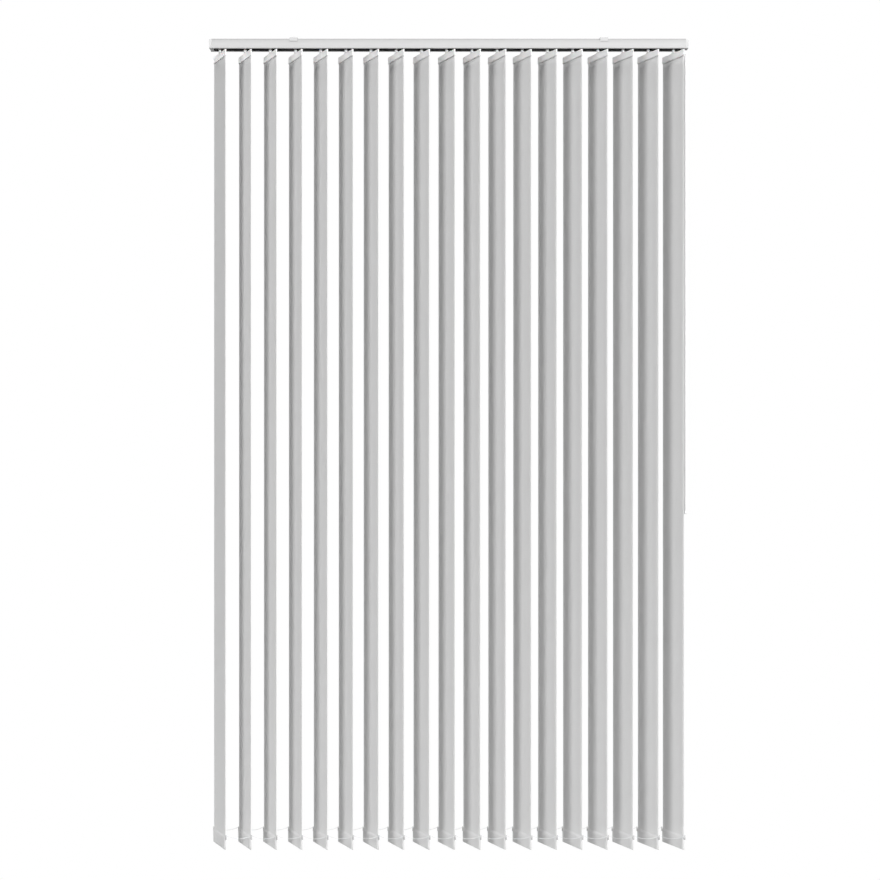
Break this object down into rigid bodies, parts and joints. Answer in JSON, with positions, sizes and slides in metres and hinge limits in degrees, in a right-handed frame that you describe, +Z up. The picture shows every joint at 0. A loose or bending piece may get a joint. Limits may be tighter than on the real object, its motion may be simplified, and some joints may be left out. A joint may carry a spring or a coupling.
{
  "type": "vertical blind",
  "caption": "Ceiling-hung vertical blind: fabric slats on a geared head rail, drawn aside and tilted with a hanging wand, edges linked by chains.",
  "frame": {"origin": "on the ceiling plane, at the middle between the two clips' screw holes", "axes": "+X along the head rail, to the right as seen from the room; -Y into the room; +Z up"},
  "size_m": [1.5, 0.084, 2.536],
  "materials": {
    "rail_aluminium": "satin white powder coat on extruded aluminium",
    "cap_plastic": "fine satin moulded",
    "clip_steel": "white coated spring steel",
    "rod_aluminium": "drawn, bare",
    "gear_plastic": "natural acetal",
    "housing_plastic": "satin moulded",
    "carrier_plastic": "black acetal",
    "wand_plastic": "glossy extruded",
    "tip_plastic": "glossy moulded",
    "chain_plastic": "moulded beads",
    "slat_fabric": "stiffened plain-weave polyester with white plastic hanger and coated weight"
  },
  "bodies": {
    "root": {"head_rail": "rail_aluminium", "left_end_cap": "cap_plastic", "right_end_cap": "cap_plastic", "clip_left": "clip_steel", "clip_right": "clip_steel", "carrier_01": "carrier_plastic"},
    "carrier_02": {"carrier_02": "carrier_plastic"},
    "carrier_03": {"carrier_03": "carrier_plastic"},
    "carrier_04": {"carrier_04": "carrier_plastic"},
    "carrier_05": {"carrier_05": "carrier_plastic"},
    "carrier_06": {"carrier_06": "carrier_plastic"},
    "carrier_07": {"carrier_07": "carrier_plastic"},
    "carrier_08": {"carrier_08": "carrier_plastic"},
    "carrier_09": {"carrier_09": "carrier_plastic"},
    "carrier_10": {"carrier_10": "carrier_plastic"},
    "carrier_11": {"carrier_11": "carrier_plastic"},
    "carrier_12": {"carrier_12": "carrier_plastic"},
    "carrier_13": {"carrier_13": "carrier_plastic"},
    "carrier_14": {"carrier_14": "carrier_plastic"},
    "carrier_15": {"carrier_15": "carrier_plastic"},
    "carrier_16": {"carrier_16": "carrier_plastic"},
    "carrier_17": {"carrier_17": "carrier_plastic"},
    "carrier_18": {"carrier_18": "carrier_plastic"},
    "carrier_19": {"carrier_19": "carrier_plastic", "wand_housing": "housing_plastic"},
    "slat_01": {"slat_01": "slat_fabric"},
    "slat_02": {"slat_02": "slat_fabric"},
    "slat_03": {"slat_03": "slat_fabric"},
    "slat_04": {"slat_04": "slat_fabric"},
    "slat_05": {"slat_05": "slat_fabric"},
    "slat_06": {"slat_06": "slat_fabric"},
    "slat_07": {"slat_07": "slat_fabric"},
    "slat_08": {"slat_08": "slat_fabric"},
    "slat_09": {"slat_09": "slat_fabric"},
    "slat_10": {"slat_10": "slat_fabric"},
    "slat_11": {"slat_11": "slat_fabric"},
    "slat_12": {"slat_12": "slat_fabric"},
    "slat_13": {"slat_13": "slat_fabric"},
    "slat_14": {"slat_14": "slat_fabric"},
    "slat_15": {"slat_15": "slat_fabric"},
    "slat_16": {"slat_16": "slat_fabric"},
    "slat_17": {"slat_17": "slat_fabric"},
    "slat_18": {"slat_18": "slat_fabric"},
    "slat_19": {"slat_19": "slat_fabric"},
    "tilt_rod": {"tilt_rod": "rod_aluminium"},
    "drive_gear": {"drive_gear": "gear_plastic"},
    "wand_drive": {"wand_drive": "gear_plastic"},
    "wand_coupling": {"wand_coupling": "wand_plastic"},
    "wand": {"wand": "wand_plastic", "wand_tip": "tip_plastic"},
    "front_chain": {"front_chain": "chain_plastic"},
    "back_chain": {"back_chain": "chain_plastic"}
  },
  "joints": [
    {"name": "traverse", "type": "slide", "parent": "root", "child": "carrier_19", "axis": [-1, 0, 0], "range_m": [0, 1.1376], "deforming": ["front_chain", "back_chain"]},
    {"name": "traverse_18", "type": "slide", "parent": "root", "child": "carrier_18", "axis": [-1, 0, 0], "range_m": [-0.001, 1.0754]},
    {"name": "traverse_17", "type": "slide", "parent": "root", "child": "carrier_17", "axis": [-1, 0, 0], "range_m": [-0.001, 1.0122]},
    {"name": "traverse_16", "type": "slide", "parent": "root", "child": "carrier_16", "axis": [-1, 0, 0], "range_m": [-0.001, 0.949]},
    {"name": "traverse_15", "type": "slide", "parent": "root", "child": "carrier_15", "axis": [-1, 0, 0], "range_m": [-0.001, 0.8858]},
    {"name": "traverse_14", "type": "slide", "parent": "root", "child": "carrier_14", "axis": [-1, 0, 0], "range_m": [-0.001, 0.8226]},
    {"name": "traverse_13", "type": "slide", "parent": "root", "child": "carrier_13", "axis": [-1, 0, 0], "range_m": [-0.001, 0.7594]},
    {"name": "traverse_12", "type": "slide", "parent": "root", "child": "carrier_12", "axis": [-1, 0, 0], "range_m": [-0.001, 0.6962]},
    {"name": "traverse_11", "type": "slide", "parent": "root", "child": "carrier_11", "axis": [-1, 0, 0], "range_m": [-0.001, 0.633]},
    {"name": "traverse_10", "type": "slide", "parent": "root", "child": "carrier_10", "axis": [-1, 0, 0], "range_m": [-0.001, 0.5698]},
    {"name": "traverse_09", "type": "slide", "parent": "root", "child": "carrier_09", "axis": [-1, 0, 0], "range_m": [-0.001, 0.5066]},
    {"name": "traverse_08", "type": "slide", "parent": "root", "child": "carrier_08", "axis": [-1, 0, 0], "range_m": [-0.001, 0.4434]},
    {"name": "traverse_07", "type": "slide", "parent": "root", "child": "carrier_07", "axis": [-1, 0, 0], "range_m": [-0.001, 0.3802]},
    {"name": "traverse_06", "type": "slide", "parent": "root", "child": "carrier_06", "axis": [-1, 0, 0], "range_m": [-0.001, 0.317]},
    {"name": "traverse_05", "type": "slide", "parent": "root", "child": "carrier_05", "axis": [-1, 0, 0], "range_m": [-0.001, 0.2538]},
    {"name": "traverse_04", "type": "slide", "parent": "root", "child": "carrier_04", "axis": [-1, 0, 0], "range_m": [-0.001, 0.1906]},
    {"name": "traverse_03", "type": "slide", "parent": "root", "child": "carrier_03", "axis": [-1, 0, 0], "range_m": [-0.001, 0.1274]},
    {"name": "traverse_02", "type": "slide", "parent": "root", "child": "carrier_02", "axis": [-1, 0, 0], "range_m": [-0.001, 0.0642]},
    {"name": "tilt", "type": "hinge", "parent": "root", "child": "slat_01", "pos_m": [-0.7196, 0, 0], "axis": [0, 0, 1], "range_deg": [-107.8, 38.2]},
    {"name": "tilt_02", "type": "hinge", "parent": "carrier_02", "child": "slat_02", "pos_m": [-0.6404, 0, 0], "axis": [0, 0, 1], "range_deg": [-108.3, 38.7]},
    {"name": "tilt_03", "type": "hinge", "parent": "carrier_03", "child": "slat_03", "pos_m": [-0.5612, 0, 0], "axis": [0, 0, 1], "range_deg": [-108.3, 38.7]},
    {"name": "tilt_04", "type": "hinge", "parent": "carrier_04", "child": "slat_04", "pos_m": [-0.482, 0, 0], "axis": [0, 0, 1], "range_deg": [-108.3, 38.7]},
    {"name": "tilt_05", "type": "hinge", "parent": "carrier_05", "child": "slat_05", "pos_m": [-0.4028, 0, 0], "axis": [0, 0, 1], "range_deg": [-108.3, 38.7]},
    {"name": "tilt_06", "type": "hinge", "parent": "carrier_06", "child": "slat_06", "pos_m": [-0.3236, 0, 0], "axis": [0, 0, 1], "range_deg": [-108.3, 38.7]},
    {"name": "tilt_07", "type": "hinge", "parent": "carrier_07", "child": "slat_07", "pos_m": [-0.2444, 0, 0], "axis": [0, 0, 1], "range_deg": [-108.3, 38.7]},
    {"name": "tilt_08", "type": "hinge", "parent": "carrier_08", "child": "slat_08", "pos_m": [-0.1652, 0, 0], "axis": [0, 0, 1], "range_deg": [-108.3, 38.7]},
    {"name": "tilt_09", "type": "hinge", "parent": "carrier_09", "child": "slat_09", "pos_m": [-0.086, 0, 0], "axis": [0, 0, 1], "range_deg": [-108.3, 38.7]},
    {"name": "tilt_10", "type": "hinge", "parent": "carrier_10", "child": "slat_10", "pos_m": [-0.0068, 0, 0], "axis": [0, 0, 1], "range_deg": [-108.3, 38.7]},
    {"name": "tilt_11", "type": "hinge", "parent": "carrier_11", "child": "slat_11", "pos_m": [0.0724, 0, 0], "axis": [0, 0, 1], "range_deg": [-108.3, 38.7]},
    {"name": "tilt_12", "type": "hinge", "parent": "carrier_12", "child": "slat_12", "pos_m": [0.1516, 0, 0], "axis": [0, 0, 1], "range_deg": [-108.3, 38.7]},
    {"name": "tilt_13", "type": "hinge", "parent": "carrier_13", "child": "slat_13", "pos_m": [0.2308, 0, 0], "axis": [0, 0, 1], "range_deg": [-108.3, 38.7]},
    {"name": "tilt_14", "type": "hinge", "parent": "carrier_14", "child": "slat_14", "pos_m": [0.31, 0, 0], "axis": [0, 0, 1], "range_deg": [-108.3, 38.7]},
    {"name": "tilt_15", "type": "hinge", "parent": "carrier_15", "child": "slat_15", "pos_m": [0.3892, 0, 0], "axis": [0, 0, 1], "range_deg": [-108.3, 38.7]},
    {"name": "tilt_16", "type": "hinge", "parent": "carrier_16", "child": "slat_16", "pos_m": [0.4684, 0, 0], "axis": [0, 0, 1], "range_deg": [-108.3, 38.7]},
    {"name": "tilt_17", "type": "hinge", "parent": "carrier_17", "child": "slat_17", "pos_m": [0.5476, 0, 0], "axis": [0, 0, 1], "range_deg": [-108.3, 38.7]},
    {"name": "tilt_18", "type": "hinge", "parent": "carrier_18", "child": "slat_18", "pos_m": [0.6268, 0, 0], "axis": [0, 0, 1], "range_deg": [-108.3, 38.7]},
    {"name": "tilt_19", "type": "hinge", "parent": "carrier_19", "child": "slat_19", "pos_m": [0.706, 0, 0], "axis": [0, 0, 1], "range_deg": [-108.3, 38.7]},
    {"name": "rod_turn", "type": "hinge", "parent": "root", "child": "tilt_rod", "pos_m": [0, 0.0085, -0.02], "axis": [1, 0, 0], "range_deg": [-432.2, 153.8]},
    {"name": "drive_gear_turn", "type": "hinge", "parent": "carrier_19", "child": "drive_gear", "pos_m": [0.7438, 0.0085, -0.02], "axis": [1, 0, 0], "range_deg": [-432.2, 153.8]},
    {"name": "wand_drive_turn", "type": "hinge", "parent": "carrier_19", "child": "wand_drive", "pos_m": [0.7438, 0, -0.0393], "axis": [0, 0, 1], "range_deg": [-1294.6, 459.4]},
    {"name": "wand_swing", "type": "hinge", "parent": "carrier_19", "child": "wand_coupling", "pos_m": [0.7438, 0, -0.0393], "axis": [0, -1, 0], "range_deg": [0, 35]},
    {"name": "wand_turn", "type": "hinge", "parent": "wand_coupling", "child": "wand", "pos_m": [0.7438, 0, -0.06], "axis": [0, 0, 1], "range_deg": [-1294.6, 459.4]},
    {"name": "front_chain_pivot", "type": "hinge", "parent": "slat_01", "child": "front_chain", "pos_m": [-0.69169, -0.04015, -2.4916], "axis": [0, 0, 1], "range_deg": [-39.2, 108.8]},
    {"name": "back_chain_pivot", "type": "hinge", "parent": "slat_01", "child": "back_chain", "pos_m": [-0.74751, 0.04015, -2.4916], "axis": [0, 0, 1], "range_deg": [-39.2, 108.8]}
  ],
  "couplings": [
    {"joint": "traverse_18", "follows": "traverse", "ratio": 0.94444},
    {"joint": "traverse_17", "follows": "traverse", "ratio": 0.88889},
    {"joint": "traverse_16", "follows": "traverse", "ratio": 0.83333},
    {"joint": "traverse_15", "follows": "traverse", "ratio": 0.77778},
    {"joint": "traverse_14", "follows": "traverse", "ratio": 0.72222},
    {"joint": "traverse_13", "follows": "traverse", "ratio": 0.66667},
    {"joint": "traverse_12", "follows": "traverse", "ratio": 0.61111},
    {"joint": "traverse_11", "follows": "traverse", "ratio": 0.55556},
    {"joint": "traverse_10", "follows": "traverse", "ratio": 0.5},
    {"joint": "traverse_09", "follows": "traverse", "ratio": 0.44444},
    {"joint": "traverse_08", "follows": "traverse", "ratio": 0.38889},
    {"joint": "traverse_07", "follows": "traverse", "ratio": 0.33333},
    {"joint": "traverse_06", "follows": "traverse", "ratio": 0.27778},
    {"joint": "traverse_05", "follows": "traverse", "ratio": 0.22222},
    {"joint": "traverse_04", "follows": "traverse", "ratio": 0.16667},
    {"joint": "traverse_03", "follows": "traverse", "ratio": 0.11111},
    {"joint": "traverse_02", "follows": "traverse", "ratio": 0.055556},
    {"joint": "tilt_02", "follows": "tilt", "ratio": 1},
    {"joint": "tilt_03", "follows": "tilt", "ratio": 1},
    {"joint": "tilt_04", "follows": "tilt", "ratio": 1},
    {"joint": "tilt_05", "follows": "tilt", "ratio": 1},
    {"joint": "tilt_06", "follows": "tilt", "ratio": 1},
    {"joint": "tilt_07", "follows": "tilt", "ratio": 1},
    {"joint": "tilt_08", "follows": "tilt", "ratio": 1},
    {"joint": "tilt_09", "follows": "tilt", "ratio": 1},
    {"joint": "tilt_10", "follows": "tilt", "ratio": 1},
    {"joint": "tilt_11", "follows": "tilt", "ratio": 1},
    {"joint": "tilt_12", "follows": "tilt", "ratio": 1},
    {"joint": "tilt_13", "follows": "tilt", "ratio": 1},
    {"joint": "tilt_14", "follows": "tilt", "ratio": 1},
    {"joint": "tilt_15", "follows": "tilt", "ratio": 1},
    {"joint": "tilt_16", "follows": "tilt", "ratio": 1},
    {"joint": "tilt_17", "follows": "tilt", "ratio": 1},
    {"joint": "tilt_18", "follows": "tilt", "ratio": 1},
    {"joint": "tilt_19", "follows": "tilt", "ratio": 1},
    {"joint": "rod_turn", "follows": "tilt", "ratio": 4},
    {"joint": "drive_gear_turn", "follows": "tilt", "ratio": 4},
    {"joint": "wand_drive_turn", "follows": "tilt", "ratio": 12},
    {"joint": "wand_turn", "follows": "tilt", "ratio": 12},
    {"joint": "front_chain_pivot", "follows": "tilt", "ratio": -1},
    {"joint": "back_chain_pivot", "follows": "tilt", "ratio": -1}
  ]
}
